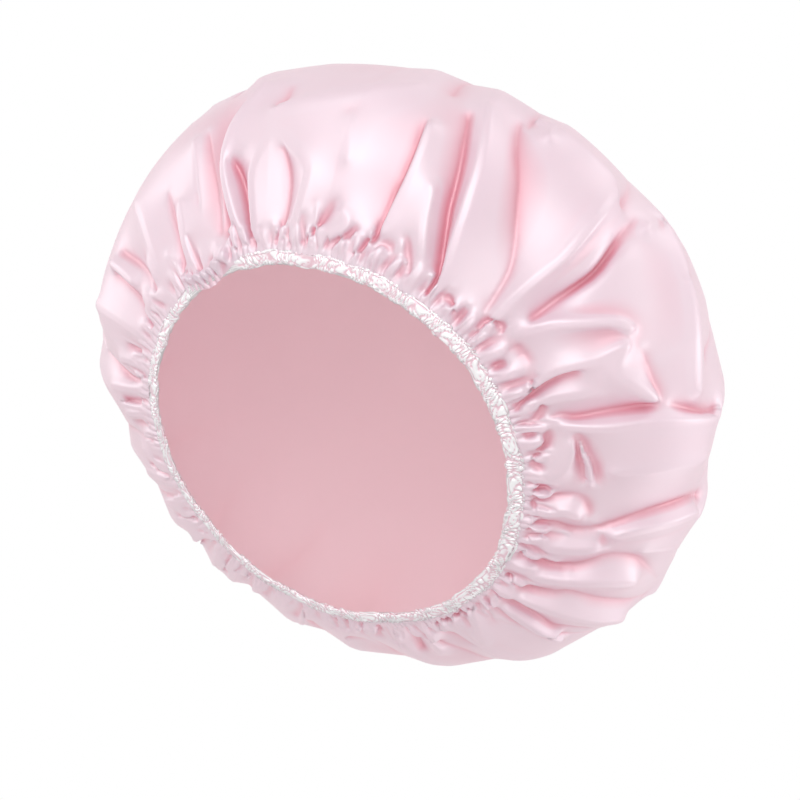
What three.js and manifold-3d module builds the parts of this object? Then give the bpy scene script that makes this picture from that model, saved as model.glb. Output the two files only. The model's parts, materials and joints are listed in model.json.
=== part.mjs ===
// Gathered shower cap, mouth down: a satin shell over a film lining, both
// held in a ruched hem casing that hides a flat elastic.
// Millimetres, +Z up, origin at the centre of the mouth on the rest plane.
import * as THREE from 'three';
import * as BufferGeometryUtils from 'three/addons/utils/BufferGeometryUtils.js';
import Module from 'manifold-3d';

const wasm = await Module();
wasm.setup();

// Driving dimensions of the whole cap
const mouthDiameter = 162;
const capWidth = 280;
const capHeight = 143;
const widestHeight = 62;
const foldDepth = 9;

// Cloth, film and clearance between pieces that touch
const shellThickness = 0.5;
const liningThickness = 0.4;
const clearance = 0.25;

// Hem casing
const casingWall = 0.3;
const gatherHeight = 0.6;
const gatherCount = 96;
const casingEase = 0.2;
const hemTuck = 2.6;
const hemEase = 0.3;
const hemFlare = 0.3;
const lipRound = 0.6;
const footWidth = 2.2;
const hemTiltDegrees = 23;

// Elastic and sewing thread
const elasticWidth = 4;
const elasticThickness = 0.5;
const elasticLap = 12;
const threadDiameter = 0.3;
const tackLength = 4;
const tackWidth = 1.2;
const tackTail = 1.5;

// Shares of the gather height, shown at the edge, the stitch line and the lip
const edgeGatherShare = 0.6;
const stitchGatherShare = 0.4;
const lipGatherShare = 0.5;

// Share of the hem tuck where the stitch line runs, from its inner edge
const stitchShare = 0.5;

// Crown roundness, and the pull of the side's curve at its two ends
const crownExponent = 2.3;
const sideHandleShares = [0.72, 0.39];

// Rings of the cloth above the hem: share of the way (side 0 to 1, crown 1
// to 2), then the share of the fold depth that the ring keeps
const ringShares = [
  [0, 0],
  [0.1, 0.45],
  [0.28, 0.95],
  [0.55, 1],
  [0.8, 0.82],
  [1, 0.62],
  [1.25, 0.42],
  [1.5, 0.22],
  [1.75, 0.06],
];

// Folds seen in the cloth: azimuth in degrees at the hem and at the crown,
// depth share of the valley, set-back share of the lobe that follows it
const foldShares = [
  [8, 4, 0.9, 0.1],
  [27, 25, 0.7, 0.04],
  [45, 44, 0.6, 0.12],
  [62, 62, 0.75, 0],
  [79, 80, 0.6, 0.14],
  [94, 96, 0.9, 0.05],
  [110, 111, 0.7, 0.16],
  [127, 125, 0.8, 0],
  [144, 142, 0.9, 0.12],
  [162, 160, 0.8, 0.3],
  [180, 179, 0.75, 0.45],
  [201, 200, 1.4, 0],
  [219, 216, 0.8, 0],
  [241, 243, 0.9, 0.06],
  [264, 252, 1, 0.1],
  [281, 272, 0.8, 0],
  [298, 298, 0.65, 0.06],
  [315, 310, 0.8, 0.12],
  [332, 330, 0.95, 0],
  [349, 346, 0.9, 0.35],
];

// Places of a lobe's two shoulders between its valleys
const shoulderShares = [0.3, 0.7];

// The lining keeps this share of the folds that the shell has above it
const liningFollowShare = 0.7;

// Extra room between the layers on a fold's flank, as a share of the clearance
const flankRoomShare = 1.2;

// Sizes worked out from the ones above
const fullTurn = 2 * Math.PI;
const mouthRadius = mouthDiameter / 2;
const capRadius = capWidth / 2;
const crownRise = capHeight - widestHeight;
const threadRadius = threadDiameter / 2;
const hemTilt = THREE.MathUtils.degToRad(hemTiltDegrees);
const lapHalf = elasticThickness + clearance / 2;
const tackReach = lapHalf + clearance + threadRadius;
const tunnelHalf = tackReach + threadRadius + clearance + casingEase;
const stackHalf = (shellThickness + liningThickness + clearance) / 2;
const pinchHalf = stackHalf + clearance + casingEase;
const lipThickness = casingWall + gatherHeight * lipGatherShare;
const elasticStart = (lipThickness + clearance + lapHalf * Math.sin(hemTilt)) / Math.cos(hemTilt);
const elasticMiddle = elasticStart + elasticWidth / 2;
const hemStart = elasticStart + elasticWidth + clearance + hemEase;
const stitchLine = hemStart + hemTuck * stitchShare;
const casingWidth = hemStart + hemTuck;
const lipHeight = casingWall + tunnelHalf * Math.cos(hemTilt) - elasticStart * Math.sin(hemTilt);

// Point of the hem's cross-section: along the casing from the lip, and
// across it towards the inside of the cap; x is the radius, y the height
function hemPoint(along, across) {
  return new THREE.Vector2(
    mouthRadius + along * Math.cos(hemTilt) - across * Math.sin(hemTilt),
    lipHeight + along * Math.sin(hemTilt) + across * Math.cos(hemTilt),
  );
}

// Turns a cross-section point to its azimuth round the cap
function turned(point, azimuth) {
  return new THREE.Vector3(
    point.x * Math.cos(azimuth),
    point.x * Math.sin(azimuth),
    point.y,
  );
}

// Closed geometry from points and triangles, with its faces pointing out
function solidGeometry(points, triangles) {
  let volume = 0;
  for (const [a, b, c] of triangles) {
    volume += points[a].dot(new THREE.Vector3().crossVectors(points[b], points[c]));
  }
  const facing = volume < 0 ? triangles.map(([a, b, c]) => [a, c, b]) : triangles;
  const geometry = new THREE.BufferGeometry();
  const positions = points.flatMap((point) => [point.x, point.y, point.z]);
  geometry.setAttribute('position', new THREE.Float32BufferAttribute(positions, 3));
  geometry.setIndex(facing.flat());
  geometry.computeVertexNormals();
  return geometry;
}

// Two triangles between corners a, b of one ring and c, d of the next
function quad(a, b, c, d) {
  return [[a, b, d], [a, d, c]];
}

// Solid swept through cross-sections of equal length; an open one is capped
function sweptGeometry(sections, closed) {
  const size = sections[0].length;
  const count = sections.length;
  const triangles = [];
  const spans = closed ? count : count - 1;
  for (let i = 0; i < spans; i++) {
    const here = i * size;
    const next = ((i + 1) % count) * size;
    for (let j = 0; j < size; j++) {
      const k = (j + 1) % size;
      triangles.push(...quad(here + j, here + k, next + j, next + k));
    }
  }
  if (!closed) {
    const last = (count - 1) * size;
    for (let j = 1; j < size - 1; j++) {
      triangles.push([0, j + 1, j], [last, last + j, last + j + 1]);
    }
  }
  return solidGeometry(sections.flat(), triangles);
}

// Side of the cap: leaves the casing at the hem's tilt and ends upright
const sideStart = hemPoint(casingWidth + clearance + gatherHeight, -stackHalf);
const sideRun = capRadius - sideStart.x;
const sideRise = widestHeight - sideStart.y;
const sideCurve = new THREE.CubicBezierCurve(
  sideStart,
  new THREE.Vector2(Math.cos(hemTilt), Math.sin(hemTilt))
    .multiplyScalar(sideRun * sideHandleShares[0])
    .add(sideStart),
  new THREE.Vector2(capRadius, widestHeight - sideRise * sideHandleShares[1]),
  new THREE.Vector2(capRadius, widestHeight),
);

// Crown of the cap, a rounded arch from the widest ring to the top
function crownPoint(share) {
  const angle = share * Math.PI / 2;
  return new THREE.Vector2(
    capRadius * Math.cos(angle) ** (2 / crownExponent),
    widestHeight + crownRise * Math.sin(angle) ** (2 / crownExponent),
  );
}

// Way into the cap, square to the crown's arch
function crownInward(share) {
  const angle = share * Math.PI / 2;
  const power = 2 - 2 / crownExponent;
  return new THREE.Vector2(
    -(Math.cos(angle) ** power) / capRadius,
    -(Math.sin(angle) ** power) / crownRise,
  ).normalize();
}

// Smooth outline that the lobes reach: its point and the way into the cap
function outline(way) {
  if (way >= 1) {
    return { point: crownPoint(way - 1), inward: crownInward(way - 1) };
  }
  const tangent = sideCurve.getTangent(way);
  return { point: sideCurve.getPoint(way), inward: new THREE.Vector2(-tangent.y, tangent.x) };
}

// Columns of cloth: each fold's valley and the two shoulders after it.
// deep is the share of the fold depth there, near the mean of its two valleys
const columns = foldShares.flatMap(([hemAzimuth, topAzimuth, valley, setBack], i) => {
  const next = foldShares[(i + 1) % foldShares.length];
  const wrap = i + 1 === foldShares.length ? 360 : 0;
  const near = (valley + next[2]) / 2;
  const between = (share) => ({
    hem: THREE.MathUtils.lerp(hemAzimuth, next[0] + wrap, share),
    top: THREE.MathUtils.lerp(topAzimuth, next[1] + wrap, share),
    deep: setBack,
    near,
  });
  const bottom = { hem: hemAzimuth, top: topAzimuth, deep: valley, near: valley };
  return [bottom, ...shoulderShares.map(between)];
});

// Depth of the cloth at one column and ring, measured in from the outline
function layerDepth(column, kept, layer) {
  const folded = foldDepth * kept * column.deep;
  if (layer === 'shellOut') {
    return folded;
  }
  if (layer === 'shellIn') {
    return folded + shellThickness;
  }
  const lined = Math.max(column.deep, column.near * liningFollowShare);
  const room = shellThickness + clearance * (1 + flankRoomShare * kept);
  const outside = foldDepth * kept * lined + room;
  return layer === 'liningOut' ? outside : outside + liningThickness;
}

// Distance across the hem stack from its outer face to each layer's faces
const hemOffsets = {
  shellOut: 0,
  shellIn: shellThickness,
  liningOut: shellThickness + clearance,
  liningIn: shellThickness + clearance + liningThickness,
};

// One face of a cloth layer: rings of points from the hem up, then the top
function clothFace(layer) {
  const hemRing = columns.map((column) => {
    const point = hemPoint(hemStart, hemOffsets[layer] - stackHalf);
    return turned(point, THREE.MathUtils.degToRad(column.hem));
  });
  const rings = ringShares.map(([way, kept]) => {
    const { point, inward } = outline(way);
    return columns.map((column) => {
      const depth = kept === 0 ? hemOffsets[layer] : layerDepth(column, kept, layer);
      const place = point.clone().addScaledVector(inward, depth);
      const degrees = THREE.MathUtils.lerp(column.hem, column.top, Math.min(way, 1));
      return turned(place, THREE.MathUtils.degToRad(degrees));
    });
  });
  const drop = layerDepth({ deep: 0, near: 0 }, 0, layer);
  return { rings: [hemRing, ...rings], top: new THREE.Vector3(0, 0, capHeight - drop) };
}

// Thin closed solid between two faces of a cloth layer
function clothGeometry(outerLayer, innerLayer) {
  const outer = clothFace(outerLayer);
  const inner = clothFace(innerLayer);
  const size = columns.length;
  const outerCount = outer.rings.length * size;
  const outerTop = outerCount;
  const innerStart = outerCount + 1;
  const innerTop = innerStart + outerCount;
  const points = [...outer.rings.flat(), outer.top, ...inner.rings.flat(), inner.top];
  const triangles = [];
  for (let i = 0; i < size; i++) {
    const next = (i + 1) % size;
    for (let ring = 0; ring + 1 < outer.rings.length; ring++) {
      const low = ring * size;
      const high = low + size;
      triangles.push(...quad(low + i, low + next, high + i, high + next));
      const inside = quad(low + i, low + next, high + i, high + next);
      triangles.push(...inside.map(([a, b, c]) => [innerStart + a, innerStart + c, innerStart + b]));
    }
    const last = outerCount - size;
    triangles.push([last + i, last + next, outerTop]);
    triangles.push([innerStart + last + i, innerTop, innerStart + last + next]);
    triangles.push(...quad(innerStart + i, innerStart + next, i, next));
  }
  return solidGeometry(points, triangles);
}

// Outer line of the casing's section, from its outer free edge round the
// lip to its inner free edge; rise is the gather's height at this place
function casingLine(rise) {
  const pinched = pinchHalf + casingWall + rise * stitchGatherShare;
  const flared = pinchHalf + casingWall + hemFlare + rise;
  const edge = casingWidth + rise * edgeGatherShare;
  const lip = (gatherHeight - rise) * lipGatherShare;
  const foot = mouthRadius + lipRound + lip;
  return [
    hemPoint(edge, -flared),
    hemPoint(stitchLine, -pinched),
    new THREE.Vector2(foot + footWidth + rise, 0),
    new THREE.Vector2(foot, 0),
    new THREE.Vector2(mouthRadius + lip, lipHeight + tunnelHalf * Math.cos(hemTilt)),
    hemPoint(elasticMiddle, tunnelHalf + casingWall + rise),
    hemPoint(stitchLine, pinched),
    hemPoint(edge, flared),
  ];
}

// The same line moved in by the casing's wall, square to its runs
function innerLine(line) {
  const normals = line.slice(1).map((point, i) => {
    const run = point.clone().sub(line[i]).normalize();
    return new THREE.Vector2(run.y, -run.x);
  });
  return line.map((point, i) => {
    const before = normals[Math.max(i - 1, 0)];
    const after = normals[Math.min(i, normals.length - 1)];
    const middle = before.clone().add(after).normalize();
    return point.clone().addScaledVector(middle, casingWall / middle.dot(before));
  });
}

// Places round the hem: a valley and a crest for each gather
const gatherPlaces = Array.from({ length: 2 * gatherCount }, (_, i) => ({
  azimuth: i * fullTurn / (2 * gatherCount),
  rise: gatherHeight * (i % 2),
}));

// Ruched strip folded round the elastic, open towards the cloth
function casingGeometry() {
  const sections = gatherPlaces.map(({ azimuth, rise }) => {
    const line = casingLine(rise);
    const section = [...line, ...innerLine(line).reverse()];
    return section.map((point) => turned(point, azimuth));
  });
  return sweptGeometry(sections, true);
}

// Thread of the hem seam on one face of the casing; side is -1 outside, 1 inside
function seamGeometry(side) {
  const sections = gatherPlaces.map(({ azimuth, rise }) => {
    const seat = pinchHalf + casingWall + rise * stitchGatherShare;
    const centre = seat + clearance + threadRadius;
    return [
      hemPoint(stitchLine - threadRadius, side * centre),
      hemPoint(stitchLine, side * (centre - threadRadius)),
      hemPoint(stitchLine + threadRadius, side * centre),
      hemPoint(stitchLine, side * (centre + threadRadius)),
    ].map((point) => turned(point, azimuth));
  });
  return sweptGeometry(sections, true);
}

// Azimuths of the elastic strip: its lap, the way round, and the lap again
const elasticSteps = 72;
const lapSteps = 4;
const elasticRadius = hemPoint(elasticMiddle, 0).x;
const lapAngle = elasticLap / elasticRadius;

function elasticAngles() {
  const lap = Array.from({ length: lapSteps }, (_, i) => i * lapAngle / lapSteps);
  const round = Array.from({ length: elasticSteps }, (_, i) => (
    THREE.MathUtils.lerp(lapAngle, fullTurn, i / elasticSteps)
  ));
  const again = [...lap, lapAngle].map((angle) => angle + fullTurn);
  return [...lap, ...round, ...again];
}

// Height of the strip across the casing: its ends pass under and over
function elasticShift(angle) {
  const shift = (elasticThickness + clearance) / 2;
  const rampDown = THREE.MathUtils.smoothstep(angle, lapAngle, 2 * lapAngle);
  const rampUp = THREE.MathUtils.smoothstep(angle, fullTurn - lapAngle, fullTurn);
  return shift * (rampDown - 1 + rampUp);
}

// Closed mesh as a manifold solid for the boolean cuts
function toManifold(geometry) {
  const bare = geometry.clone();
  bare.deleteAttribute('normal');
  bare.deleteAttribute('uv');
  const merged = BufferGeometryUtils.mergeVertices(bare);
  return new wasm.Manifold(new wasm.Mesh({
    numProp: 3,
    vertProperties: new Float32Array(merged.attributes.position.array),
    triVerts: new Uint32Array(merged.index.array),
  }));
}

function fromManifold(solid) {
  const mesh = solid.getMesh();
  const geometry = new THREE.BufferGeometry();
  geometry.setAttribute('position', new THREE.BufferAttribute(mesh.vertProperties, 3));
  geometry.setIndex(new THREE.BufferAttribute(mesh.triVerts, 1));
  geometry.computeVertexNormals();
  return geometry;
}

// Frame at the middle of the lap: x round the hem, y along the casing, z across it
const lapCentre = turned(hemPoint(elasticMiddle, 0), lapAngle / 2);
const lapFrame = new THREE.Matrix4()
  .makeBasis(
    new THREE.Vector3(-Math.sin(lapAngle / 2), Math.cos(lapAngle / 2), 0),
    turned(new THREE.Vector2(-Math.cos(hemTilt), -Math.sin(hemTilt)), lapAngle / 2),
    turned(new THREE.Vector2(-Math.sin(hemTilt), Math.cos(hemTilt)), lapAngle / 2),
  )
  .setPosition(lapCentre);

// Holes of the tack, where its thread passes through both ends
const tackHoles = [
  new THREE.Vector2(-tackLength / 2, -tackWidth / 2),
  new THREE.Vector2(tackLength / 2, -tackWidth / 2),
  new THREE.Vector2(tackLength / 2, tackWidth / 2),
  new THREE.Vector2(-tackLength / 2, tackWidth / 2),
];

// Flat elastic, one strip whose lapped ends have a hole for each pass of the tack
function elasticGeometry() {
  const sections = elasticAngles().map((angle) => {
    const middle = elasticShift(angle);
    return [[-1, -1], [1, -1], [1, 1], [-1, 1]].map(([along, across]) => turned(
      hemPoint(
        elasticMiddle + along * elasticWidth / 2,
        middle + across * elasticThickness / 2,
      ),
      angle,
    ));
  });
  let strip = toManifold(sweptGeometry(sections, false));
  for (const hole of tackHoles) {
    const drill = new THREE.CylinderGeometry(
      threadRadius + clearance,
      threadRadius + clearance,
      2 * tunnelHalf,
      8,
    );
    drill.rotateX(Math.PI / 2);
    drill.translate(hole.x, hole.y, 0);
    drill.applyMatrix4(lapFrame);
    strip = strip.subtract(toManifold(drill));
  }
  return fromManifold(strip);
}

// Way of the tack thread: up and down through the four holes, with two cut tails
function tackPath() {
  const passes = tackHoles.flatMap((hole, i) => {
    const from = i % 2 === 0 ? -tackReach : tackReach;
    return [
      new THREE.Vector3(hole.x, hole.y, from),
      new THREE.Vector3(hole.x, hole.y, -from),
    ];
  });
  const tail = new THREE.Vector3(-tackTail, 0, 0);
  return [passes[0].clone().add(tail), ...passes, passes[passes.length - 1].clone().add(tail)];
}

// Tack thread, a square section mitred at each corner of its way
function tackGeometry() {
  const path = tackPath();
  const runs = path.slice(1).map((point, i) => point.clone().sub(path[i]).normalize());
  let offsets = [[-1, -1], [1, -1], [1, 1], [-1, 1]].map(([y, z]) => (
    new THREE.Vector3(0, y * threadRadius, z * threadRadius)
  ));
  const sections = path.map((point, i) => {
    const before = runs[Math.max(i - 1, 0)];
    const after = runs[Math.min(i, runs.length - 1)];
    const corners = offsets.map((offset) => (
      offset.clone().addScaledVector(before, -offset.dot(after) / (1 + before.dot(after)))
    ));
    offsets = corners.map((corner) => corner.clone().addScaledVector(after, -corner.dot(after)));
    return corners.map((corner) => corner.add(point));
  });
  return sweptGeometry(sections, false);
}

// Finishes
const satin = new THREE.MeshStandardMaterial({ color: 0xecd2dc, roughness: 0.35, metalness: 0 });
const film = new THREE.MeshStandardMaterial({ color: 0xe2b0b8, roughness: 0.55, metalness: 0 });
const ruche = new THREE.MeshStandardMaterial({ color: 0xf6e8ef, roughness: 0.4, metalness: 0 });
const elastic = new THREE.MeshStandardMaterial({ color: 0xf4eff0, roughness: 0.8, metalness: 0 });
const thread = new THREE.MeshStandardMaterial({ color: 0xd9a3b2, roughness: 0.6, metalness: 0 });

function piece(name, geometry, material) {
  const mesh = new THREE.Mesh(geometry, material);
  mesh.name = name;
  return mesh;
}

// Assembly: the cloth layers, then the hem that holds them
const cloth = new THREE.Group();
cloth.add(
  piece('outer_shell', clothGeometry('shellOut', 'shellIn'), satin),
  piece('inner_lining', clothGeometry('liningOut', 'liningIn'), film),
);

const tack = piece('elastic_tack_thread', tackGeometry(), thread);
tack.applyMatrix4(lapFrame);

const hem = new THREE.Group();
hem.add(
  piece('hem_casing', casingGeometry(), ruche),
  piece('elastic_band', elasticGeometry(), elastic),
  piece('hem_seam_thread_outer', seamGeometry(-1), thread),
  piece('hem_seam_thread_inner', seamGeometry(1), thread),
  tack,
);

const group = new THREE.Group();
group.add(cloth, hem);

export default group;
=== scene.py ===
# Satin shower cap seen from below its mouth: gathered shell, film lining, ruched hem
import json
import math

import bpy
import numpy as np
from mathutils import Matrix, Vector

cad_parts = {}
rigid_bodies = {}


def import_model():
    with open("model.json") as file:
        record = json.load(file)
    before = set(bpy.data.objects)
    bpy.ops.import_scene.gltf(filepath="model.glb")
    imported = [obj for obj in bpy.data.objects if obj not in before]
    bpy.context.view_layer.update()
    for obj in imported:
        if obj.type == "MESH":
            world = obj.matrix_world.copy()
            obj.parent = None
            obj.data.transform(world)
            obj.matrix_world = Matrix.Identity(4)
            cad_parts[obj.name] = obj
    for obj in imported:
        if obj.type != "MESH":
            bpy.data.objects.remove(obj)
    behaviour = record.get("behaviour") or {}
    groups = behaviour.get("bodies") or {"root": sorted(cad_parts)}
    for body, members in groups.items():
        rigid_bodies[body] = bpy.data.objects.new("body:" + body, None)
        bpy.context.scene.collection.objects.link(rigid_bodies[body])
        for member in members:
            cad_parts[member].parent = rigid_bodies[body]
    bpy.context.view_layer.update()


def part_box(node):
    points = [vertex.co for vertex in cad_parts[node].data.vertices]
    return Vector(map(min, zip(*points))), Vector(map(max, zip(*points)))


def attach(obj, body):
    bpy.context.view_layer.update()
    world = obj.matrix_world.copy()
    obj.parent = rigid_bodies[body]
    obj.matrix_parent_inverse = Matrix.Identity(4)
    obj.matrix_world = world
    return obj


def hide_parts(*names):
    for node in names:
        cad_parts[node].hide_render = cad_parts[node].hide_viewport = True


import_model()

MM = 0.001
TURN = 2 * math.pi

# Outline of the cap, as in the solids
CAP_RADIUS = 140 * MM
CAP_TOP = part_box("outer_shell")[1][2]
WIDEST_HEIGHT = 62 * MM
HEM_TILT = math.radians(23)
HEM_OUT = 90 * MM
HEM_OUT_HEIGHT = 4.6 * MM
HEM_TUCK = 5 * MM
CROWN_EXPONENT = 2.3
SIDE_HANDLE_SHARES = (0.72, 0.39)

# Camera fitted to the photograph's outline and mouth
VIEW_TILT = math.radians(40.4)
VIEW_ROLL = math.radians(44.46)
VIEW_DISTANCE = 1143 * MM
VIEW_AIM_HEIGHT = 55.2 * MM
FOCAL_PIXELS = 2696.8
FRAME_PIXELS = 800
CENTRE_PIXEL = (388.7, 384.4)
SENSOR_WIDTH = 36
SIGHT_SPAN = 1.6 * CAP_RADIUS
SIGHT_STEP = 0.5 * MM

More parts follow.
